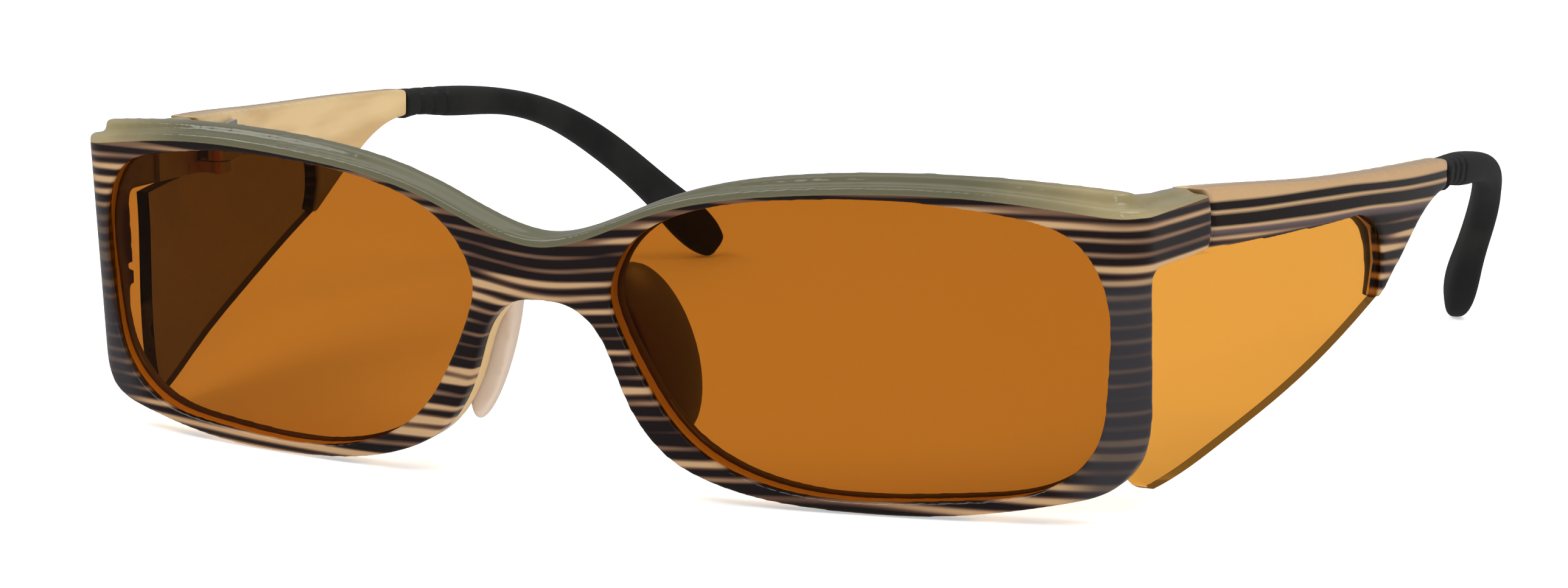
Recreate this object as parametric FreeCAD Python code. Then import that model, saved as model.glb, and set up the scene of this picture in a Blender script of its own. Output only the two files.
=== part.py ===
"""Wrap-round glacier glasses with side shields.

Frame of the model: +X is the wearer's left, -Y is the way the wearer looks, +Z is up.
The glasses stand open on their rim bottoms and ear-tip ends, and the origin is on that
surface, in the middle of the bounding box.  All sizes are in millimetres and degrees.
"""
import FreeCAD, Part
import math
import os
from FreeCAD import Vector

os.makedirs("parts", exist_ok=True)

# ---------------------------------------------------------------- driving dimensions
APEX_Y = -72.8             # the middle of the front, measured from the origin
FLOOR_Z = 0.65             # the standing surface, in the heights used below
FRONT_LIFT = 16.1          # height of the front's own origin, between the two lenses
FRONT_LEAN = 4.9           # the top of the front leans forward by this much

WRAP_RADIUS = 223.0        # plan radius of the front's outer surface
HALF_WIDTH = 67.2          # middle of the front to the flat side of the endpiece
CORNER_RADIUS = 5.5        # plan radius where the front turns into the endpiece
ENDPIECE_FLARE = 0.03      # outward slope of the endpiece, to meet the arm
FACE_THICKNESS = 2.0       # outer laminate of the front
FRONT_THICKNESS = 4.4      # both laminates of the front
RIM_REAR_Y = 13.2          # where the side wall of the rim ends, just below the endpiece
RIM_REAR_SLOPE = 2.0       # and how much further back it would end at RIM_REAR_FOOT
RIM_REAR_FOOT = -20.0
ENDPIECE_BOTTOM = 28.3
RIM_CORNER = 1.5           # round where the endpiece's underside meets the rim

LENS_FRONT = 1.1           # lens faces, measured in from the front's outer surface
LENS_BACK = 2.9
LENS_TONGUE = 0.7          # how far a lens reaches into its groove
LENS_OPENING_REAR = 13.6   # the lens openings end here, ahead of the endpieces

JOINT_Y = 28.4             # rearmost point of the rounded end of the endpiece
JOINT_GAP = 0.35           # the arm's hollowed end follows it at this distance
ARM_END_Y = 88.3           # end of the laminated arm, where the ear tip starts
ARM_PLAN_START = 10.0      # the arm's bowed plan is drawn between these, then trimmed
ARM_PLAN_END = 100.0
ARM_FRONT_Y = 12.0         # the bow's chord runs from here, at ARM_FRONT_X, to ARM_REAR_Y
ARM_FRONT_X = 62.6
ARM_REAR_Y = 87.4
ARM_SPLAY = 0.1472         # slope of the chord
ARM_BOW = 0.0025           # and how much the arm bows out from it
ARM_OUTER = 2.1            # outer laminate of the arm
ARM_THICKNESS = 4.2        # both laminates of the arm, at the hinge
ARM_TAPER = 1.2            # how much thinner the arm is at its rear end
CLAW_THICKNESS = 2.6       # both laminates at the foot of the claw
CLAW_FOOT = 17.0           # the inner face slopes from this height up to the beam
BEAM_FOOT = 29.5
SHIELD_OUTER = 0.5         # shield faces, measured in from the arm's outer surface
SHIELD_INNER = 2.1
SHIELD_TONGUE = 1.3        # how far the shield reaches up into the arm's groove
SHIELD_GAP = 0.4           # running clearance under the endpiece

PAD_RADII = (2.3, 5.6, 10.2)         # half thickness, depth and height of a nose pad
PAD_CENTRE = (10.0, 7.6, -0.6)       # on the front before it leans
PAD_TOE = 24.0             # turn about Z, so that the pads open towards the face
PAD_SPLAY = 17.0           # turn about Y, so that they spread downwards

PIVOT_X = 60.6             # hinge axis, inside the arm's inner face
PIVOT_Y = JOINT_Y + 0.2
KNUCKLE_RADIUS = 1.45
KNUCKLE_GAP = 0.15
HINGE_BOTTOM = 28.6
HINGE_KNUCKLES = (1.3, 1.7, 1.3)     # front, arm, front
SCREW_RADIUS = 0.6
SCREW_CLEARANCE = 0.04
SCREW_FOOT = 0.3           # the shank shows this much below the barrels
SCREW_HEAD_RADIUS = 1.15
SCREW_HEAD_HEIGHT = 0.5
SCREW_SLOT = 0.3           # width and depth of the driver's slot
LEAF_THICKNESS = 0.9
LEAF_SUNK = 0.45
LEAF_LENGTH = 8.0
FRONT_LEAF_END_Y = 26.8    # the front's leaf stops here, clear of the arm
LINK_THICKNESS = 0.7       # the thin links from the front leaf to its barrels
LINK_LAP = 0.6             # the links lap the leaf by this much
LINK_START_Y = 24.8
ARM_LEAF_START_Y = 30.3
WEB_DEPTH = 1.16           # the front's webs, which tie the barrels to the links
ARM_WEB_LAP = 0.6          # the arm's web runs this far along its plate

WIRE_RADIUS = 0.7          # steel core of the ear tip
WIRE_START = (78.0, 29.3)  # (y, z) of its buried end
WIRE_DEPTH = 1.7           # and how far in from the arm's outer face that is
WIRE_ROWS = 5              # it follows this many sections of the ear tip
GROOVE_Y = (91.0, 93.6, 96.2)
GROOVE_WIDTH = 0.7
GROOVE_DEPTH = 0.35
SECTION_POINTS = 12

SIDES = {"left": 1, "right": -1}

# ---------------------------------------------------------------- outlines
# One half of each outline, as (x, z) on the front before it leans.
LENS_OPENING = [(8.9, 8.5), (12.5, 14.0), (20.0, 17.4), (31.0, 18.9), (43.0, 19.0), (53.0, 17.7),
                (60.3, 15.0), (63.2, 10.0), (63.4, 0.0), (61.7, -8.0), (57.5, -11.8), (48.0, -13.7),
                (36.0, -14.2), (25.0, -12.7), (17.0, -8.4), (12.0, -1.5), (9.4, 4.0)]
FACE_TOP = [(0.0, 13.0), (6.0, 14.2), (14.0, 17.4), (22.0, 19.4), (31.0, 20.4), (42.0, 20.8),
            (52.0, 20.3), (60.0, 19.2), (68.2, 17.9)]
BROW_TOP = [(0.0, 13.1), (6.0, 14.35), (14.0, 17.6), (22.0, 19.9), (31.0, 21.1), (42.0, 21.5),
            (52.0, 21.1), (60.0, 20.3), (68.2, 19.3)]
RIM_BOTTOM = [(0.0, 6.0), (4.2, 5.2), (7.0, 2.6), (9.0, -2.2), (11.3, -7.0), (14.5, -10.6),
              (19.0, -13.0), (26.0, -14.8), (34.0, -15.6), (42.0, -15.8), (52.0, -15.0),
              (59.0, -13.8), (63.8, -12.1), (66.2, -9.0), (67.1, -3.5), (68.2, 2.0)]

# Side views, as (y, z) on the standing glasses.
FACE_ENDPIECE_TOP = [(8.0, 36.6), (11.0, 35.3), (14.0, 34.9), (JOINT_Y, 34.6)]
BROW_ENDPIECE_TOP = [(9.5, 38.2), (12.0, 36.8), (15.0, 36.0), (20.0, 35.5), (JOINT_Y, 35.1)]
JOINT_LINE = [(-3.2, 35.9), (-1.2, 34.8), (-0.2, 33.2), (0.0, 31.4), (-0.2, 29.6), (-1.3, 27.9)]
ARM_TOP = [(20.0, 35.5), (JOINT_Y, 35.1), (50.0, 33.2), (75.0, 31.5), (92.0, 30.3)]
ARM_BOTTOM_FRONT = [(20.0, 28.6), (45.0, 27.8), (59.0, 27.6)]
CLAW_FRONT = [(59.0, 27.6), (62.5, 27.0), (65.4, 24.8), (66.2, 21.5), (65.0, 17.6)]
CLAW_REAR = [(66.2, 17.3), (68.6, 18.8), (72.6, 21.3), (80.0, 25.4), (84.5, 26.7), (92.0, 26.4)]
SHIELD_BOTTOM = [(19.8, 3.2), (24.0, 4.1), (32.0, 6.5), (42.0, 9.5), (52.0, 12.7), (62.0, 16.2),
                 (66.0, 17.6)]
SHIELD_UNDER = ENDPIECE_BOTTOM - SHIELD_GAP
SHIELD_FRONT = [(14.9, SHIELD_UNDER), (15.3, 16.0), (16.2, 8.0), (17.6, 4.7), (19.8, 3.2)]
SHIELD_STEP_Y = 29.2       # behind this the shield reaches up into the arm's groove
SHIELD_GROOVE = [(SHIELD_STEP_Y, 28.3 + SHIELD_TONGUE), (45.0, 27.8 + SHIELD_TONGUE),
                 (60.0, 27.5 + SHIELD_TONGUE), (66.2, 25.9), (67.2, 21.5)]

# Centre line of the ear tip, with each section's height and thickness: (x, y, z, height, thickness).
EAR_TIP = [(72.2, 88.3, 28.5, 4.0, 3.4), (71.2, 97.0, 27.9, 3.9, 3.6), (69.9, 108.4, 26.6, 3.7, 3.7),
           (67.6, 120.2, 23.5, 3.7, 3.7), (64.0, 129.8, 17.7, 4.3, 3.7), (59.4, 138.0, 9.9, 5.0, 3.8),
           (56.4, 143.2, 4.3, 5.6, 3.8), (55.2, 145.4, 2.0, 3.6, 2.6)]


# ---------------------------------------------------------------- small helpers
def spline(points, closed=False):
    curve = Part.BSplineCurve()
    curve.interpolate(points, PeriodicFlag=closed)
    return curve.toShape()


def mirrored(half):
    """A full left-to-right run of (x, z) points from the half that starts on the middle."""
    return [(-x, z) for x, z in reversed(half[1:])] + half


def chain(points):
    """Straight edges through the points."""
    return [Part.makeLine(a, b) for a, b in zip(points, points[1:])]


def in_front_plane(points, y=0.0):
    return [Vector(x, y, z) for x, z in points]


def in_side_plane(points, x=0.0):
    return [Vector(x, y, z) for y, z in points]


def prism(edges, along):
    """The solid swept by a closed run of edges."""
    return Part.Face(Part.Wire(Part.__sortEdges__(edges))).extrude(along)


def grown(points, distance):
    """The same closed outline, moved outwards along its own normals."""
    moved = []
    count = len(points)
    for i, (x, z) in enumerate(points):
        before = points[i - 1]
        after = points[(i + 1) % count]
        run = (after[0] - before[0], after[1] - before[1])
        length = math.hypot(run[0], run[1])
        moved.append((x - run[1] / length * distance, z + run[0] / length * distance))
    return moved


def lean(shape):
    """Puts a shape from the front's upright frame into its leaning place."""
    leaning = shape.copy()
    leaning.rotate(Vector(0, 0, 0), Vector(1, 0, 0), FRONT_LEAN)
    leaning.translate(Vector(0, 0, FRONT_LIFT))
    return leaning


def rounded(shape, radius, chosen):
    """The shape with the edges that satisfy the test rounded."""
    return shape.makeFillet(radius, [edge for edge in shape.Edges if chosen(edge)])


# ---------------------------------------------------------------- plan curves
CORNER_X = HALF_WIDTH - CORNER_RADIUS
FLANK_START = WRAP_RADIUS - math.sqrt((WRAP_RADIUS - CORNER_RADIUS) ** 2 - CORNER_X ** 2)


def front_plan(depth, rear_y=40.0):
    """Plan of the front at a depth below its outer surface: side, corner, front, corner, side."""
    centre = Vector(0, WRAP_RADIUS, 0)
    heading = math.atan2(CORNER_X, WRAP_RADIUS - FLANK_START)
    radius = WRAP_RADIUS - depth
    corner = CORNER_RADIUS - depth

    def on_front(angle):
        return centre + Vector(math.sin(angle), -math.cos(angle), 0) * radius

    def on_corner(angle, side):
        return Vector(side * (CORNER_X + corner * math.sin(angle)), FLANK_START - corner * math.cos(angle), 0)

    middle = (heading + math.pi / 2) / 2
    side_x = HALF_WIDTH - depth
    edges = [Part.Arc(on_front(-heading), on_front(0), on_front(heading)).toShape()]
    for side in (-1, 1):
        start = on_front(side * heading)
        end = Vector(side * side_x, FLANK_START, 0)
        edges.append(Part.Arc(start, on_corner(middle, side), end).toShape())
        edges.append(Part.makeLine(end, flank_point(depth, side, rear_y)))
    return edges


def flank_point(depth, side, y):
    """Plan of the endpiece's flank, which flares a little towards the arm."""
    return Vector(side * (HALF_WIDTH - depth + ENDPIECE_FLARE * (y - FLANK_START)), y, 0)


def front_slab(outer, inner):
    """The wrapped sheet between two depths, tall enough for the whole front."""
    rear = 40.0
    edges = front_plan(outer, rear) + front_plan(inner, rear)
    for side in (-1, 1):
        edges.append(Part.makeLine(flank_point(outer, side, rear), flank_point(inner, side, rear)))
    slab = prism(edges, Vector(0, 0, 60))
    slab.translate(Vector(0, 0, -30))
    return slab


def arm_x(y):
    """Outer face of the left arm: it bows outwards between the hinge and the ear."""
    return ARM_FRONT_X + (y - ARM_FRONT_Y) * (ARM_SPLAY + ARM_BOW * (ARM_REAR_Y - y))


def arm_point(y, depth, z=0.0):
    """The point at a depth square in from the arm's outer face."""
    slope = arm_x(y + 0.5) - arm_x(y - 0.5)
    length = math.hypot(1.0, slope)
    return Vector(arm_x(y) - depth / length, y + depth * slope / length, z)


def arm_plan(outer, inner, taper, z):
    """Closed plan of the bowed arm between two depths, where the inner one may taper rearwards."""
    stations = [ARM_PLAN_START + (ARM_PLAN_END - ARM_PLAN_START) * i / 8 for i in range(9)]
    outside = [arm_point(y, outer, z) for y in stations]
    inside = []
    for y in stations:
        share = min(max((y - JOINT_Y) / (ARM_END_Y - JOINT_Y), 0.0), 1.0)
        inside.append(arm_point(y, inner - taper * share, z))
    edges = [spline(outside), spline(inside)]
    edges += chain([outside[0], inside[0]]) + chain([outside[-1], inside[-1]])
    return Part.Wire(Part.__sortEdges__(edges))


def arm_slab(outer, inner, taper=0.0, foot=None):
    """The bowed sheet between two depths; a foot depth makes its inner face slope below the beam."""
    if foot is None:
        return Part.Face(arm_plan(outer, inner, taper, 0.0)).extrude(Vector(0, 0, 60))
    beam_plan = arm_plan(outer, inner, taper, BEAM_FOOT)
    beam = Part.Face(beam_plan).extrude(Vector(0, 0, 30))
    return beam.fuse(Part.makeLoft([arm_plan(outer, foot, 0.0, CLAW_FOOT), beam_plan], True, True))


# ---------------------------------------------------------------- front
def front_layer(outer, inner, top, endpiece_top):
    """One laminate of the front, leaning, with its endpieces and lens openings."""
    top_points = in_front_plane(mirrored(top), -10)
    bottom_points = in_front_plane(mirrored(RIM_BOTTOM), -10)
    edges = [spline(top_points), spline(bottom_points)]
    edges += chain([top_points[0], bottom_points[0]]) + chain([top_points[-1], bottom_points[-1]])
    layer = prism(edges, Vector(0, 60, 0)).common(front_slab(outer, inner))
    for side in SIDES.values():
        layer = layer.cut(opening_prism(side, 0.0))
    layer = lean(layer)
    below = in_side_plane([(RIM_REAR_Y, ENDPIECE_BOTTOM), (60, ENDPIECE_BOTTOM), (60, RIM_REAR_FOOT),
                           (RIM_REAR_Y + RIM_REAR_SLOPE, RIM_REAR_FOOT)], -90)
    cutter = prism(chain(below + below[:1]), Vector(180, 0, 0))
    cutter = rounded(cutter, RIM_CORNER, lambda e: e.BoundBox.YMax < RIM_REAR_Y + 0.1 and
                     e.BoundBox.ZMin > ENDPIECE_BOTTOM - 0.1 and e.BoundBox.XLength > 100)
    layer = layer.cut(cutter)
    above = in_side_plane(endpiece_top + [(60, endpiece_top[-1][1]), (60, 60), (endpiece_top[0][0], 60)], -90)
    layer = layer.cut(prism(chain(above + above[:1]), Vector(180, 0, 0)))
    return layer.cut(behind_joint(0.0))


def behind_joint(gap):
    """Everything behind the curved line where the arm butts against the endpiece."""
    line = in_side_plane([(JOINT_Y + gap + y, z) for y, z in JOINT_LINE], -90)
    low = Vector(-90, line[-1].y, -20)
    high = Vector(-90, line[0].y, 60)
    far = [Vector(-90, 200, -20), Vector(-90, 200, 60)]
    edges = [spline(line)] + chain([line[-1], low, far[0], far[1], high, line[0]])
    return prism(edges, Vector(180, 0, 0))


def opening_prism(side, growth):
    points = [(side * x, z) for x, z in grown(LENS_OPENING, growth)]
    return prism([spline(in_front_plane(points, -10), closed=True)], Vector(0, 10 + LENS_OPENING_REAR, 0))


def lens(side):
    """A pane curved only in plan, like the front's outer surface."""
    shells = []
    for depth in (LENS_FRONT, LENS_BACK):
        shells.append(Part.makeCylinder(WRAP_RADIUS - depth, 60, Vector(0, WRAP_RADIUS, -30)))
    sheet = shells[0].cut(shells[1])
    return lean(opening_prism(side, LENS_TONGUE).common(sheet))


def nose_pad():
    """The left pad: rounded, on the back of the rim, splayed to lie along the side of the nose."""
    stretch = FreeCAD.Matrix()
    stretch.scale(*PAD_RADII)
    pad = Part.makeSphere(1.0).transformGeometry(stretch)
    pad.rotate(Vector(0, 0, 0), Vector(0, 0, 1), -PAD_TOE)
    pad.rotate(Vector(0, 0, 0), Vector(0, 1, 0), -PAD_SPLAY)
    pad.translate(Vector(*PAD_CENTRE))
    ahead = Part.makeBox(60, 30, 60, Vector(-30, -28, -30))
    return lean(pad.cut(ahead).cut(front_slab(-10.0, FRONT_THICKNESS)))


# ---------------------------------------------------------------- arms, modelled on the left
def arm_outline():
    """Side outline of the arm, from its top line round the claw."""
    top = in_side_plane(ARM_TOP)
    bottom = in_side_plane(ARM_BOTTOM_FRONT)
    claw = in_side_plane(CLAW_FRONT)
    rear = in_side_plane(CLAW_REAR)
    edges = [spline(top), spline(bottom), spline(claw), spline(rear)]
    edges += chain([top[0], bottom[0]]) + chain([claw[-1], rear[0]]) + chain([rear[-1], top[-1]])
    return prism(edges, Vector(120, 0, 0))


def shield_outline():
    """Side outline of the shield, with the step that clears the endpiece."""
    step = (SHIELD_STEP_Y, SHIELD_UNDER)
    top = in_side_plane([SHIELD_FRONT[0], step] + SHIELD_GROOVE + [SHIELD_BOTTOM[-1]])
    edges = [spline(in_side_plane(SHIELD_BOTTOM)), spline(in_side_plane(SHIELD_FRONT))] + chain(top)
    return prism(edges, Vector(120, 0, 0))


def side_shield():
    return shield_outline().common(arm_slab(SHIELD_OUTER, SHIELD_INNER))


def arm_layer(slab):
    """One laminate of the arm: its side outline, trimmed at both ends and rebated for the shield."""
    layer = arm_outline().common(slab).common(behind_joint(JOINT_GAP))
    end = Part.makeBox(120, 60, 80, Vector(0, ARM_END_Y, 0))
    return layer.cut(end).cut(side_shield())


# ---------------------------------------------------------------- ear tip and its core
def ear_sections(shrink=0.0):
    """Oval sections square to the ear tip's centre line."""
    centres = [Vector(*row[:3]) for row in EAR_TIP]
    wires = []
    for i, row in enumerate(EAR_TIP):
        ahead = centres[min(i + 1, len(centres) - 1)] - centres[max(i - 1, 0)]
        ahead.normalize()
        if i == 0:
            ahead = Vector(0, 1, 0)
        across = ahead.cross(Vector(0, 0, 1)).normalize()
        upward = across.cross(ahead).normalize()
        half_height = row[3] / 2 - shrink
        half_thick = row[4] / 2 - shrink
        points = []
        for k in range(SECTION_POINTS):
            angle = 2 * math.pi * k / SECTION_POINTS
            c, s = math.cos(angle), math.sin(angle)
            squarish = (abs(c) ** 3 + abs(s) ** 3) ** (-1 / 3)
            out = across * (half_thick * squarish * c)
            up = upward * (half_height * squarish * s)
            points.append(centres[i] + out + up)
        wires.append(Part.Wire(spline(points, closed=True)))
    return wires


def ear_tip():
    """The rubber sleeve, with its three thin grooves."""
    tip = Part.makeLoft(ear_sections(), True, False)
    core = Part.makeLoft(ear_sections(GROOVE_DEPTH), True, False)
    for y in GROOVE_Y:
        slab = Part.makeBox(12, GROOVE_WIDTH, 12, Vector(66, y, 22))
        tip = tip.cut(slab.cut(core))
    return tip


def wire_path():
    rows = [Vector(*row[:3]) for row in EAR_TIP[:WIRE_ROWS]]
    start = arm_point(WIRE_START[0], WIRE_DEPTH, WIRE_START[1])
    return spline([start] + rows)


def core_wire():
    path = Part.Wire(wire_path())
    first = path.Edges[0]
    start = first.valueAt(first.FirstParameter)
    heading = first.tangentAt(first.FirstParameter)
    ring = Part.Wire(Part.makeCircle(WIRE_RADIUS, start, heading))
    return path.makePipeShell([ring], True, True)


# ---------------------------------------------------------------- hinges
def knuckles(which):
    """The barrels of one leaf: 'front' has the outer pair and 'arm' has the middle one."""
    parts = []
    z = HINGE_BOTTOM
    for i, height in enumerate(HINGE_KNUCKLES):
        if (which == "arm") == (i == 1):
            parts.append(Part.makeCylinder(KNUCKLE_RADIUS, height, Vector(PIVOT_X, PIVOT_Y, z)))
        z += height + KNUCKLE_GAP
    return parts


def hinge_top():
    return HINGE_BOTTOM + sum(HINGE_KNUCKLES) + KNUCKLE_GAP * (len(HINGE_KNUCKLES) - 1)


def hinge_bore():
    return Part.makeCylinder(SCREW_RADIUS + SCREW_CLEARANCE, 40, Vector(PIVOT_X, PIVOT_Y, 10))


def front_leaf():
    """The front's leaf: a plate sunk in the endpiece's inner face, with the outer two barrels."""
    plate_x = HALF_WIDTH - FRONT_THICKNESS + LEAF_SUNK - LEAF_THICKNESS
    height = hinge_top() - HINGE_BOTTOM
    leaf = Part.makeBox(LEAF_THICKNESS, LEAF_LENGTH, height,
                        Vector(plate_x, FRONT_LEAF_END_Y - LEAF_LENGTH, HINGE_BOTTOM))
    link_x = plate_x + LINK_LAP - LINK_THICKNESS
    for barrel in knuckles("front"):
        box = barrel.BoundBox
        link = Part.makeBox(LINK_THICKNESS, PIVOT_Y - LINK_START_Y, box.ZLength,
                            Vector(link_x, LINK_START_Y, box.ZMin))
        web = Part.makeBox(link_x + LINK_THICKNESS / 2 - PIVOT_X, WEB_DEPTH, box.ZLength,
                           Vector(PIVOT_X, PIVOT_Y - KNUCKLE_RADIUS, box.ZMin))
        leaf = leaf.fuse(link).fuse(web).fuse(barrel)
    return leaf.removeSplitter().cut(hinge_bore())


def arm_leaf():
    """The arm's leaf: a plate sunk in the inner face, with one barrel."""
    barrel = knuckles("arm")[0]
    box = barrel.BoundBox
    start = arm_point(ARM_LEAF_START_Y, ARM_THICKNESS)
    end = arm_point(ARM_LEAF_START_Y + LEAF_LENGTH, ARM_THICKNESS)
    heading = math.degrees(math.atan2(start.x - end.x, end.y - start.y))
    height = hinge_top() - HINGE_BOTTOM
    plate = Part.makeBox(LEAF_THICKNESS, LEAF_LENGTH, height, Vector(LEAF_SUNK - LEAF_THICKNESS, 0, 0))
    plate.rotate(Vector(0, 0, 0), Vector(0, 0, 1), heading)
    plate.translate(Vector(start.x, start.y, HINGE_BOTTOM))
    web = Part.makeBox(start.x - PIVOT_X, start.y + ARM_WEB_LAP - PIVOT_Y, box.ZLength,
                       Vector(PIVOT_X, PIVOT_Y, box.ZMin))
    return plate.fuse(web).fuse(barrel).removeSplitter().cut(hinge_bore())


def hinge_screw():
    length = hinge_top() - HINGE_BOTTOM
    shank = Part.makeCylinder(SCREW_RADIUS, length + SCREW_FOOT,
                              Vector(PIVOT_X, PIVOT_Y, HINGE_BOTTOM - SCREW_FOOT))
    head = Part.makeCylinder(SCREW_HEAD_RADIUS, SCREW_HEAD_HEIGHT, Vector(PIVOT_X, PIVOT_Y, hinge_top()))
    slot_bottom = hinge_top() + SCREW_HEAD_HEIGHT - SCREW_SLOT
    slot = Part.makeBox(4, SCREW_SLOT, SCREW_SLOT, Vector(PIVOT_X - 2, PIVOT_Y - SCREW_SLOT / 2, slot_bottom))
    return shank.fuse(head).removeSplitter().cut(slot)


# ---------------------------------------------------------------- assembly
def build():
    """Every sub-part by node name, in the model's own frame."""
    face = front_layer(0.0, FACE_THICKNESS, FACE_TOP, FACE_ENDPIECE_TOP)
    back = front_layer(FACE_THICKNESS, FRONT_THICKNESS, BROW_TOP, BROW_ENDPIECE_TOP)
    nodes = {}
    left = {
        "side_shield": side_shield(),
        "ear_tip": ear_tip(),
        "core_wire": core_wire(),
        "front_hinge": front_leaf(),
        "arm_hinge": arm_leaf(),
        "hinge_screw": hinge_screw(),
        "nose_pad": nose_pad(),
    }
    left["arm_outer"] = arm_layer(arm_slab(0.0, ARM_OUTER)).cut(left["core_wire"])
    left["arm_inner"] = arm_layer(arm_slab(ARM_OUTER, ARM_THICKNESS, ARM_TAPER, CLAW_THICKNESS))
    left["arm_inner"] = left["arm_inner"].cut(left["core_wire"]).cut(left["arm_hinge"])
    left["ear_tip"] = left["ear_tip"].cut(left["core_wire"])
    for name, side in SIDES.items():
        glass = lens(side)
        face = face.cut(glass)
        back = back.cut(glass)
        nodes["lens_" + name] = glass
        for part_name, shape in left.items():
            placed = shape if side > 0 else shape.mirror(Vector(0, 0, 0), Vector(1, 0, 0))
            nodes[part_name + "_" + name] = placed
        back = back.cut(nodes["front_hinge_" + name])
    nodes["front_face"] = face
    nodes["front_back"] = back
    for shape in nodes.values():
        shape.translate(Vector(0, APEX_Y, -FLOOR_Z))
    return nodes


model = build()
whole = Part.makeCompound(list(model.values())).BoundBox
print("box", [round(v, 2) for v in (whole.XMin, whole.XMax, whole.YMin, whole.YMax, whole.ZMin, whole.ZMax)])
for node, shape in model.items():
    solids = len(shape.Solids)
    if solids != 1 or not shape.isValid():
        print("look at", node, solids, "solids, valid", shape.isValid())
    shape.exportStep("parts/" + node + ".step")
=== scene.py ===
"""Laminated wrap sunglasses with side shields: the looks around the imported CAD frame. Metres, row frame."""
import math

import bmesh
import bpy
import numpy as np
from mathutils import Matrix, Vector
from mathutils.bvhtree import BVHTree


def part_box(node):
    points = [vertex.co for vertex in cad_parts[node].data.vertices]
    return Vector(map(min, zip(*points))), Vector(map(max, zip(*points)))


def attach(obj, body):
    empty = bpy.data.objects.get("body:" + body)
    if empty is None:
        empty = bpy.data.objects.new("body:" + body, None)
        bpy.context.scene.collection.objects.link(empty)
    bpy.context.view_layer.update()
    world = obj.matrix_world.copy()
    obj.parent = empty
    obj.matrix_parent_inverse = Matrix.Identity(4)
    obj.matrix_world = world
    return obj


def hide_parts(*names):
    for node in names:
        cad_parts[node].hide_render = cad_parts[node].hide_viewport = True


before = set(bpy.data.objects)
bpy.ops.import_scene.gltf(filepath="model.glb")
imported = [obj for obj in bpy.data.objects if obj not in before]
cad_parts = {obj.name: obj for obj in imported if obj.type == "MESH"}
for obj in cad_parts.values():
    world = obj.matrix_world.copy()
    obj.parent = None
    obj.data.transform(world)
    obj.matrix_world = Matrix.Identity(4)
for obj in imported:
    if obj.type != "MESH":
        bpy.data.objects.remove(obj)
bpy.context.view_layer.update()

MM = 0.001

# camera: its place in metres, its direction, its roll and its lens in mm
CAMERA_PLACE = (0.25823, -0.52077, 0.11464)
CAMERA_LOOK = (-0.4469, 0.8770, -0.1765)
CAMERA_ROLL = math.radians(-0.26)
CAMERA_LENS = 109.83

FLOOR_HALF = 4.0       # metres

# rounding of the moulded pieces
FRAME_VOXEL = 0.21 * MM
FRAME_ROUNDS = 44
PANE_BEVEL = 0.12 * MM
TIP_VOXEL = 0.28 * MM
TIP_ROUNDS = 4
PAD_VOXEL = 0.35 * MM
PAD_ROUNDS = 6

# colours, linear
DARK_STRIPE = (0.008, 0.004, 0.004, 1)
BROWN_STRIPE = (0.10, 0.05, 0.032, 1)
TAN_STRIPE = (0.50, 0.32, 0.165, 1)
# a dark layer with a painted reflection: the grey sheen of the floor on the arm's lower band
MAUVE_PAINTED_SHEEN = (0.11, 0.075, 0.075, 1)
SMOKE = (0.035, 0.032, 0.036, 1)
CREAM = (0.68, 0.50, 0.26, 1)
CREAM_DEEP = (0.54, 0.36, 0.165, 1)
# painted shade: the cream laminate painted dark olive on the brow's top, lighter and warmer towards the
# endpieces
PAINTED_SHADE_OLIVE = (0.120, 0.115, 0.068, 1)
PAINTED_SHADE_WARM = (0.50, 0.40, 0.20, 1)
LENS_TINT = (0.32, 0.110, 0.014, 1)
LENS_DEEP = (0.295, 0.094, 0.007, 1)
SHIELD_TINT = (0.56, 0.27, 0.048, 1)
SHIELD_DEEP = (0.51, 0.215, 0.030, 1)
SHIELD_PAINTED_SHADE = (0.17, 0.16, 0.15, 1)  # painted shade: a shield seen through a lens is painted dark grey in place of its amber tint
BEHIND_LENS_PAINTED_SHADE = (0.27, 0.37, 0.60, 1)   # painted shade: how far other things seen through a lens are darkened
PAD = (0.70, 0.58, 0.48, 1)
PAD_DEEP = (0.62, 0.48, 0.37, 1)
RUBBER = (0.008, 0.008, 0.008, 1)
RUBBER_WORN = (0.015, 0.015, 0.014, 1)
STEEL = (0.55, 0.55, 0.56, 1)
STEEL_BRIGHT = (0.70, 0.70, 0.70, 1)
FLOOR = (0.93, 0.93, 0.93, 1)
FLOOR_DEEP = (0.90, 0.90, 0.90, 1)

# how the surfaces take the light
LAMINATE_SHINE = 0.26
RUBBER_SHINE = 0.15
LENS_INDEX = 1.15      # low, so that the panes hardly bend what is seen through them
SHIELD_INDEX = 1.08
FLOOR_GLOW = 0.47
WORLD_GLOW = 0.30

# sizes of the patterns, in mm
FRONT_PITCH = 1.55
BRIDGE_SAG = 1.6       # the stripes dip this much on the bridge
BRIDGE_SAG_WIDTH = 9.0
STRIPE_SWAY = 4.0      # and they wander up and down by up to this much
STRIPE_BROWN = (1.15, 1.65)      # the strength of the mixed pattern where brown fades in
STRIPE_TAN = (1.48, 2.15)        # and where tan does
DARK_BAND = (-2.4, -1.3)         # heights over the crease between which the tan fades out
DARK_BAND_SHARE = 0.85
TEMPLE_SIDE = (57, 63)           # the lower outer corners turn smoky between these places
TEMPLE_HEIGHT = (28, 25)
TEMPLE_SHARE = 0.86
SHADE_WARM_SIDE = (48, 64)             # the painted shade on the brow top turns lighter and warmer between these places
PAINTED_SHADE_HEIGHT = (-2.2, -0.6)      # and the cream layer is painted olive, as shade, between these heights over the crease
CLAW_PITCH = 1.5
ARM_TOP_LINE = 31.0    # height of the arm's top edge over the origin
ARM_FALL = 0.0775      # and how fast it falls towards the ear
ARM_WANDER = 1.2       # how far the arm's bands wander
CLAW_FADE = (5.0, 5.6)           # depths between which the bands become the claw's stripes
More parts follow.
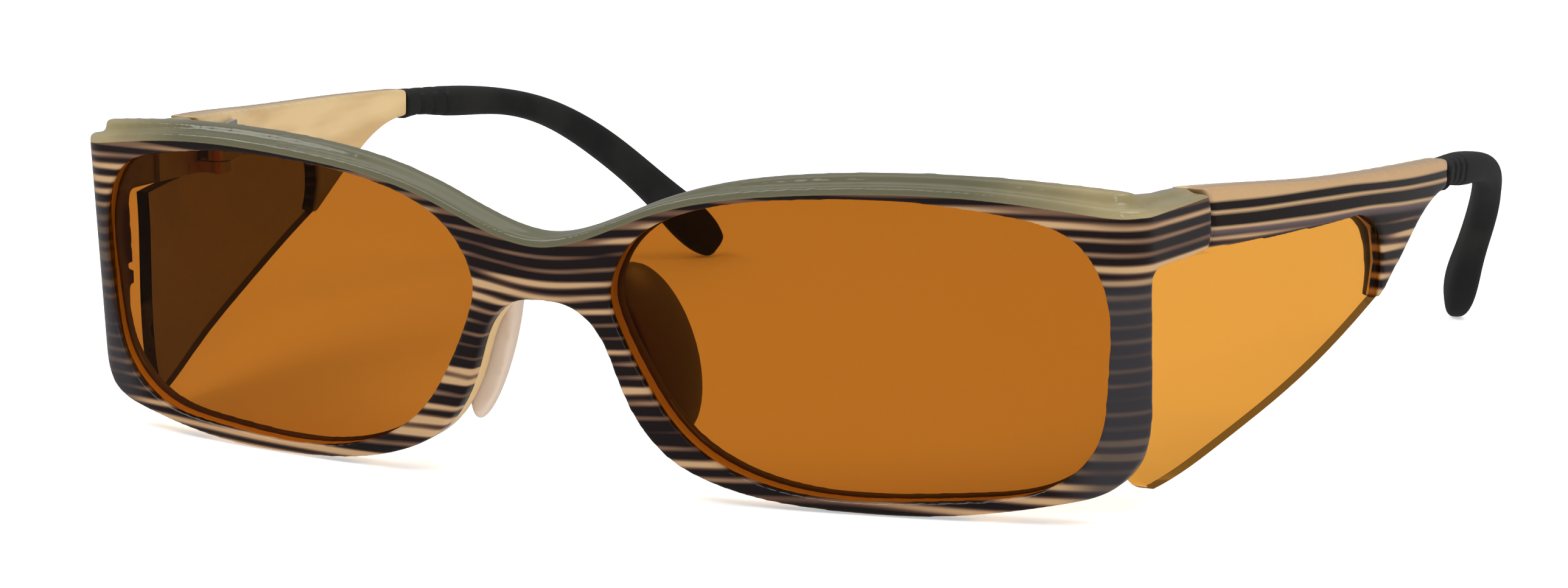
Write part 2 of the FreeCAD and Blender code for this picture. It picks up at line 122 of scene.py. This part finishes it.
OLIVE_DROP = 0.9       # how much of the face below its top edge shows the inner laminate, painted olive there as shade
GLUE_LINE = 0.06       # half the width of the soft edge between two laminates
CREASE_STEPS = 140     # places along the front where the height of its crease is measured
# The arm's layers, by depth below its top edge; the mauve band is a dark layer with a painted reflection of
# the floor.
ARM_BANDS = ((0.0, TAN_STRIPE), (1.2, TAN_STRIPE), (1.5, DARK_STRIPE), (2.2, DARK_STRIPE),
             (2.5, TAN_STRIPE), (2.9, DARK_STRIPE), (4.0, DARK_STRIPE), (4.3, TAN_STRIPE),
             (4.6, MAUVE_PAINTED_SHEEN), (5.6, DARK_STRIPE))


class Graph:
    """A material's node tree, with short ways to add nodes and join them."""

    def __init__(self, name):
        self.material = bpy.data.materials.new(name)
        self.material.use_nodes = True
        self.tree = self.material.node_tree
        self.tree.nodes.clear()
        coordinates = self.add("ShaderNodeTexCoord")
        scaled = self.add("ShaderNodeVectorMath", {0: coordinates.outputs["Object"]}, operation="SCALE")
        scaled.inputs["Scale"].default_value = 1 / MM
        self.point = scaled.outputs[0]
        parts = self.add("ShaderNodeSeparateXYZ", {0: self.point})
        self.x, self.y, self.z = parts.outputs
        self.side = self.math("ABSOLUTE", self.x)

    def add(self, kind, inputs=None, **settings):
        node = self.tree.nodes.new(kind)
        for key, value in settings.items():
            setattr(node, key, value)
        for key, value in (inputs or {}).items():
            if isinstance(value, bpy.types.NodeSocket):
                self.tree.links.new(value, node.inputs[key])
            else:
                node.inputs[key].default_value = value
        return node

    def math(self, operation, first, second=0.0):
        return self.add("ShaderNodeMath", {0: first, 1: second}, operation=operation).outputs[0]

    def step(self, value, low, high):
        """0 below low and 1 above high, smooth between."""
        node = self.add("ShaderNodeMapRange", {"Value": value, "From Min": low, "From Max": high},
                        interpolation_type="SMOOTHSTEP")
        return node.outputs[0]

    def noise(self, sizes, detail=2.0, seed=0.0):
        """Noise whose lumps are about sizes long in mm along X, Y and Z."""
        stretch = self.add("ShaderNodeVectorMath", {0: self.point, 1: tuple(1 / s for s in sizes)},
                           operation="MULTIPLY")
        moved = self.add("ShaderNodeVectorMath", {0: stretch.outputs[0], 1: (seed, seed * 1.7, seed * 0.6)},
                         operation="ADD")
        return self.add("ShaderNodeTexNoise", {"Vector": moved.outputs[0], "Scale": 1.0, "Detail": detail}
                        ).outputs["Fac"]

    def blend(self, factor, first, second):
        node = self.add("ShaderNodeMix", {0: factor, 6: first, 7: second}, data_type="RGBA")
        return node.outputs[2]

    def ramp(self, value, stops):
        """The colour for a value between the stops, which are pairs of value and colour."""
        low, high = stops[0][0], stops[-1][0]
        share = self.add("ShaderNodeMapRange", {"Value": value, "From Min": low, "From Max": high})
        node = self.add("ShaderNodeValToRGB", {0: share.outputs[0]})
        elements = node.color_ramp.elements
        elements.remove(elements[1])
        for i, (place, colour) in enumerate(stops):
            element = elements[0] if i == 0 else elements.new((place - low) / (high - low))
            element.color = colour
        return node.outputs[0]

    def attribute(self, name):
        return self.add("ShaderNodeAttribute", attribute_name=name).outputs["Fac"]

    def light_path(self, output):
        return self.add("ShaderNodeLightPath").outputs[output]

    def through_pane(self):
        """1 where the surface is seen through both faces of a pane."""
        return self.math("GREATER_THAN", self.light_path("Transmission Depth"), 1.5)

    def painted_shade_behind_lens(self, colour):
        """The colour, darkened with painted shade where it is seen through a pane."""
        return self.add("ShaderNodeMix", {0: self.through_pane(), 6: colour, 7: BEHIND_LENS_PAINTED_SHADE},
                        data_type="RGBA", blend_type="MULTIPLY").outputs[2]

    def layers(self, outer, inner):
        """The outer laminate's colour and the inner one's, each on its own side of the glue line."""
        return self.blend(self.step(self.attribute("back_layer"), -GLUE_LINE, GLUE_LINE), outer, inner)

    def polish(self):
        """The roughness of polished laminate."""
        return self.math("ADD", self.math("MULTIPLY", self.noise((3, 3, 3), 3.0), 0.08), 0.10)

    def bump(self, height, distance, strength):
        return self.add("ShaderNodeBump", {"Height": height, "Distance": distance, "Strength": strength}
                        ).outputs["Normal"]

    def finish(self, shader):
        output = self.add("ShaderNodeOutputMaterial")
        self.tree.links.new(shader, output.inputs["Surface"])
        return self.material


def striped(graph, height, pitch, dark_band=None):
    """The laminate's stripes: dark layers with soft thin tan ones between, and none in a dark band."""
    sway = graph.math("MULTIPLY", graph.noise((46, 60, 18), 0.0, 3.0), STRIPE_SWAY)
    level = graph.math("DIVIDE", graph.math("ADD", height, sway), pitch)
    wave = graph.math("SINE", graph.math("MULTIPLY", level, 2 * math.pi))
    grain = graph.noise((38, 60, 2.2), 0.6, 8.0)
    fine = graph.noise((40, 60, 0.6), 0.0, 5.0)
    mixed = graph.math("ADD", graph.math("MULTIPLY", wave, 0.5), graph.math("MULTIPLY", grain, 2.4))
    mixed = graph.math("ADD", mixed, graph.math("MULTIPLY", fine, 0.35))
    tan = graph.step(mixed, *STRIPE_TAN)
    brown = graph.step(mixed, *STRIPE_BROWN)
    if dark_band is not None:
        tan = graph.math("MULTIPLY", tan, graph.math("SUBTRACT", 1.0, dark_band))
    dark = graph.blend(brown, DARK_STRIPE, BROWN_STRIPE)
    return graph.blend(tan, dark, TAN_STRIPE)


def laminate(graph, colour):
    shader = graph.add("ShaderNodeBsdfPrincipled", {"Base Color": colour, "Roughness": graph.polish()})
    shader.inputs["Specular IOR Level"].default_value = LAMINATE_SHINE
    return graph.finish(shader.outputs[0])


def front_laminate():
    graph = Graph("front_laminate")
    above = graph.attribute("above_crease")
    across = graph.math("DIVIDE", graph.x, BRIDGE_SAG_WIDTH)
    bell = graph.math("EXPONENT", graph.math("MULTIPLY", graph.math("MULTIPLY", across, across), -1.0))
    height = graph.math("ADD", graph.z, graph.math("MULTIPLY", bell, BRIDGE_SAG))
    under_crease = graph.math("MULTIPLY", graph.step(above, *DARK_BAND), DARK_BAND_SHARE)
    stripes = striped(graph, height, FRONT_PITCH, under_crease)
    temple = graph.math("MULTIPLY", graph.step(graph.side, *TEMPLE_SIDE), graph.step(graph.z, *TEMPLE_HEIGHT))
    smoky = graph.blend(graph.math("MULTIPLY", temple, TEMPLE_SHARE), stripes, SMOKE)
    # painted shade: the cream laminate's top along the brow is painted dark olive, lighter and warmer towards
    # the endpieces
    shade_warmth = graph.step(graph.side, *SHADE_WARM_SIDE)
    painted_shade_top = graph.blend(graph.math("MULTIPLY", shade_warmth, graph.noise((14, 14, 6))), PAINTED_SHADE_OLIVE, PAINTED_SHADE_WARM)
    cream = graph.blend(graph.noise((16, 10, 7), 2.0, 2.0), CREAM, CREAM_DEEP)
    inner = graph.blend(graph.step(above, *PAINTED_SHADE_HEIGHT), cream, painted_shade_top)
    return laminate(graph, graph.layers(smoky, graph.painted_shade_behind_lens(inner)))


def arm_laminate():
    graph = Graph("arm_laminate")
    slope = graph.math("ADD", graph.z, graph.math("MULTIPLY", graph.y, ARM_FALL))
    centred = graph.math("SUBTRACT", graph.noise((26, 26, 9), 1.0, 6.0), 0.5)
    wander = graph.math("MULTIPLY", centred, ARM_WANDER)
    depth = graph.math("ADD", graph.math("SUBTRACT", ARM_TOP_LINE, slope), wander)
    claw = striped(graph, slope, CLAW_PITCH)
    stripes = graph.blend(graph.step(depth, *CLAW_FADE), graph.ramp(depth, ARM_BANDS), claw)
    cream = graph.blend(graph.step(graph.noise((30, 22, 3.5), 2.0, 2.0), 0.4, 0.7), CREAM, CREAM_DEEP)
    return laminate(graph, graph.layers(stripes, graph.painted_shade_behind_lens(cream)))


def tinted(name, tint, deep, index, painted_shade_colour=None):
    """Clear tinted plastic that lets lamps through; the last argument, if given, is painted shade: the colour
    it is painted where it is seen through another pane.
    """
    graph = Graph(name)
    colour = graph.blend(graph.noise((60, 60, 40), 1.0), tint, deep)
    # painted shade: where the pane is seen through another pane, its tint gives way to the darker colour
    if painted_shade_colour is not None:
        colour = graph.blend(graph.through_pane(), colour, painted_shade_colour)
    glass = graph.add("ShaderNodeBsdfPrincipled", {"Base Color": colour, "Roughness": 0.02})
    glass.inputs["Transmission Weight"].default_value = 1.0
    glass.inputs["IOR"].default_value = index
    half = graph.add("ShaderNodeGamma", {"Color": colour, "Gamma": 0.5})
    see = graph.add("ShaderNodeBsdfTransparent", {"Color": half.outputs[0]})
    mixed = graph.add("ShaderNodeMixShader", {0: graph.light_path("Is Shadow Ray"), 1: glass.outputs[0],
                                              2: see.outputs[0]})
    return graph.finish(mixed.outputs[0])


def rubber():
    graph = Graph("ear_rubber")
    grain = graph.noise((0.35, 0.35, 0.35), 3.0)
    wear = graph.noise((9, 9, 9), 3.0, 4.0)
    colour = graph.blend(graph.step(wear, 0.35, 0.75), RUBBER, RUBBER_WORN)
    rough = graph.math("ADD", graph.math("MULTIPLY", wear, 0.2), 0.42)
    shader = graph.add("ShaderNodeBsdfPrincipled", {"Base Color": colour, "Roughness": rough,
                                                    "Normal": graph.bump(grain, 0.00003, 0.25)})
    shader.inputs["Specular IOR Level"].default_value = RUBBER_SHINE
    return graph.finish(shader.outputs[0])


def pad_silicone():
    graph = Graph("pad_silicone")
    colour = graph.blend(graph.noise((4, 4, 4)), PAD, PAD_DEEP)
    shader = graph.add("ShaderNodeBsdfPrincipled", {"Base Color": graph.painted_shade_behind_lens(colour),
                                                    "Roughness": 0.32})
    shader.inputs["Subsurface Weight"].default_value = 0.3
    shader.inputs["Subsurface Radius"].default_value = (0.002, 0.0015, 0.001)
    return graph.finish(shader.outputs[0])


def steel():
    graph = Graph("hinge_steel")
    lines = graph.noise((0.12, 3.0, 3.0))
    rough = graph.math("ADD", graph.math("MULTIPLY", lines, 0.2), 0.22)
    colour = graph.blend(lines, STEEL, STEEL_BRIGHT)
    shader = graph.add("ShaderNodeBsdfPrincipled", {"Base Color": colour, "Roughness": rough})
    shader.inputs["Metallic"].default_value = 1.0
    return graph.finish(shader.outputs[0])


def floor_paint():
    graph = Graph("floor_paint")
    colour = graph.blend(graph.noise((300, 300, 300)), FLOOR, FLOOR_DEEP)
    shader = graph.add("ShaderNodeBsdfPrincipled", {"Base Color": colour, "Roughness": 0.8})
    shader.inputs["Specular IOR Level"].default_value = 0.0
    shader.inputs["Emission Color"].default_value = (1, 1, 1, 1)
    shader.inputs["Emission Strength"].default_value = FLOOR_GLOW
    return graph.finish(shader.outputs[0])


def applied(obj):
    """obj with its modifiers made real."""
    graph = bpy.context.evaluated_depsgraph_get()
    mesh = bpy.data.meshes.new_from_object(obj.evaluated_get(graph))
    obj.modifiers.clear()
    obj.data = mesh
    return obj


def softened(name, nodes, voxel, rounds):
    """One closed mesh made from CAD nodes, with every edge rounded and its places kept."""
    joined = bmesh.new()
    for node in nodes:
        joined.from_mesh(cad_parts[node].data)
    mesh = bpy.data.meshes.new(name)
    joined.to_mesh(mesh)
    joined.free()
    piece = bpy.data.objects.new(name, mesh)
    bpy.context.scene.collection.objects.link(piece)
    remesh = piece.modifiers.new("remesh", "REMESH")
    remesh.mode = "VOXEL"
    remesh.voxel_size = voxel
    smooth = piece.modifiers.new("smooth", "SMOOTH")
    smooth.factor = 0.5
    smooth.iterations = rounds
    applied(piece)
    piece.data.shade_smooth()
    return piece


def polished(name, node):
    """The CAD piece's own surface with a fine bevel, whose normals leave the big faces undistorted."""
    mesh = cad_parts[node].data.copy()
    mesh.name = name
    piece = bpy.data.objects.new(name, mesh)
    bpy.context.scene.collection.objects.link(piece)
    weld = piece.modifiers.new("weld", "WELD")
    weld.merge_threshold = 0.005 * MM
    bevel = piece.modifiers.new("bevel", "BEVEL")
    bevel.width = PANE_BEVEL
    bevel.segments = 2
    bevel.limit_method = "ANGLE"
    bevel.angle_limit = math.radians(50)
    mesh.shade_smooth()
    normals = piece.modifiers.new("normals", "WEIGHTED_NORMAL")
    normals.mode = "FACE_AREA"
    normals.weight = 100
    return applied(piece)


def vertices(mesh):
    places = np.zeros(len(mesh.vertices) * 3)
    mesh.vertices.foreach_get("co", places)
    return places.reshape(-1, 3)


def solid_tree(node):
    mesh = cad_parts[node].data
    faces = [tuple(p.vertices) for p in mesh.polygons]
    return BVHTree.FromPolygons([v.co for v in mesh.vertices], faces)


def mark(piece, name, values):
    piece.data.attributes.new(name, "FLOAT", "POINT").data.foreach_set("value", values.astype(np.float32))


def layer_lead(piece, outer, inner):
    """For each vertex, how much nearer it is to the inner laminate than to the outer one, in mm."""
    trees = [solid_tree(outer), solid_tree(inner)]
    gaps = [[tree.find_nearest(v.co)[3] for v in piece.data.vertices] for tree in trees]
    return (np.array(gaps[0]) - np.array(gaps[1])) / MM


def crease_height(places, face_node):
    """How far each place is above the top front edge of the face laminate, in mm."""
    tree = solid_tree(face_node)
    low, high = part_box(face_node)
    stops = np.linspace(0, high.x - 0.5 * MM, CREASE_STEPS)
    depths = np.arange(low.y, high.y, 0.25 * MM)
    line = []
    for x in stops:
        drops = (tree.ray_cast(Vector((x, y, high.z + MM)), Vector((0, 0, -1)))[0] for y in depths)
        line.append(next(hit.z for hit in drops if hit))
    return (places[:, 2] - np.interp(np.abs(places[:, 0]), stops, line)) / MM


def dress(piece, body, material, slot, *nodes):
    piece.data.materials.clear()
    piece.data.materials.append(material)
    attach(piece, body)
    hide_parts(*nodes)


def build_front(material):
    front = softened("front_frame", ["front_face", "front_back"], FRAME_VOXEL, FRAME_ROUNDS)
    above = crease_height(vertices(front.data), "front_face")
    mark(front, "above_crease", above)
    mark(front, "back_layer", np.maximum(layer_lead(front, "front_face", "front_back"), above + OLIVE_DROP))
    dress(front, "front", material, "striped_laminate", "front_face", "front_back")


def build_arm(side, material):
    outer, inner = "arm_outer_" + side, "arm_inner_" + side
    arm = softened("arm_frame_" + side, [outer, inner], FRAME_VOXEL, FRAME_ROUNDS)
    mark(arm, "back_layer", layer_lead(arm, outer, inner))
    dress(arm, "arm_" + side, material, "striped_laminate", outer, inner)


def add_light(name, place, aim, size, power):
    data = bpy.data.lights.new(name, "AREA")
    data.shape = "RECTANGLE"
    data.size, data.size_y = size
    data.energy = power
    light = bpy.data.objects.new(name, data)
    bpy.context.scene.collection.objects.link(light)
    light.location = place
    light.rotation_euler = (Vector(aim) - Vector(place)).to_track_quat("-Z", "Y").to_euler()


def build_camera():
    data = bpy.data.cameras.new("camera")
    data.lens = CAMERA_LENS
    data.sensor_width = 36
    data.clip_start = 0.01
    camera = bpy.data.objects.new("camera", data)
    bpy.context.scene.collection.objects.link(camera)
    turn = Vector(CAMERA_LOOK).to_track_quat("-Z", "Y").to_matrix() @ Matrix.Rotation(CAMERA_ROLL, 3, "Z")
    camera.matrix_world = Matrix.Translation(CAMERA_PLACE) @ turn.to_4x4()
    bpy.context.scene.camera = camera


def build_stage():
    mesh = bpy.data.meshes.new("floor")
    corners = [(-FLOOR_HALF, -FLOOR_HALF, 0), (FLOOR_HALF, -FLOOR_HALF, 0),
               (FLOOR_HALF, FLOOR_HALF, 0), (-FLOOR_HALF, FLOOR_HALF, 0)]
    mesh.from_pydata(corners, [], [(0, 1, 2, 3)])
    floor = bpy.data.objects.new("floor", mesh)
    bpy.context.scene.collection.objects.link(floor)
    mesh.materials.append(floor_paint())
    floor.visible_glossy = False
    world = bpy.data.worlds.new("world")
    bpy.context.scene.world = world
    world.use_nodes = True
    world.node_tree.nodes["Background"].inputs["Color"].default_value = (1, 1, 1, 1)
    world.node_tree.nodes["Background"].inputs["Strength"].default_value = WORLD_GLOW
    add_light("back_light", (0.0, 0.55, 1.0), (0, 0.25, 0), (1.6, 0.9), 3.0)
    add_light("top_light", (-0.24, -0.24, 0.48), (0, 0, 0.02), (0.8, 0.2), 2.4)
    add_light("key_light", (0.5, 0.1, 0.6), (0, 0, 0.02), (0.4, 0.4), 2.4)
    add_light("side_light", (0.48, -0.28, 0.16), (0.05, 0, 0.02), (0.03, 0.32), 0.35)
    bpy.context.scene.view_settings.view_transform = "Standard"


build_camera()
front_material = front_laminate()
arm_material = arm_laminate()
lens_material = tinted("lens_tint", LENS_TINT, LENS_DEEP, LENS_INDEX)
shield_material = tinted("shield_tint", SHIELD_TINT, SHIELD_DEEP, SHIELD_INDEX, SHIELD_PAINTED_SHADE)
rubber_material = rubber()
pad_material = pad_silicone()
steel_material = steel()

build_front(front_material)
for side in ("left", "right"):
    arm_body = "arm_" + side
    build_arm(side, arm_material)
    for node, body, material, slot in (("lens", "front", lens_material, "front_lens"),
                                       ("side_shield", arm_body, shield_material, "side_lens")):
        name = node + "_" + side
        dress(polished(node + "_pane_" + side, name), body, material, slot, name)
    for node, body, material, slot, voxel, rounds in (
            ("ear_tip", arm_body, rubber_material, "ear_rubber", TIP_VOXEL, TIP_ROUNDS),
            ("nose_pad", "front", pad_material, "nose_pad", PAD_VOXEL, PAD_ROUNDS)):
        name = node + "_" + side
        dress(softened(node + "_soft_" + side, [name], voxel, rounds), body, material, slot, name)
    for node in ("front_hinge_", "hinge_screw_", "arm_hinge_", "core_wire_"):
        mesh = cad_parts[node + side].data
        mesh.materials.clear()
        mesh.materials.append(steel_material)

build_stage()
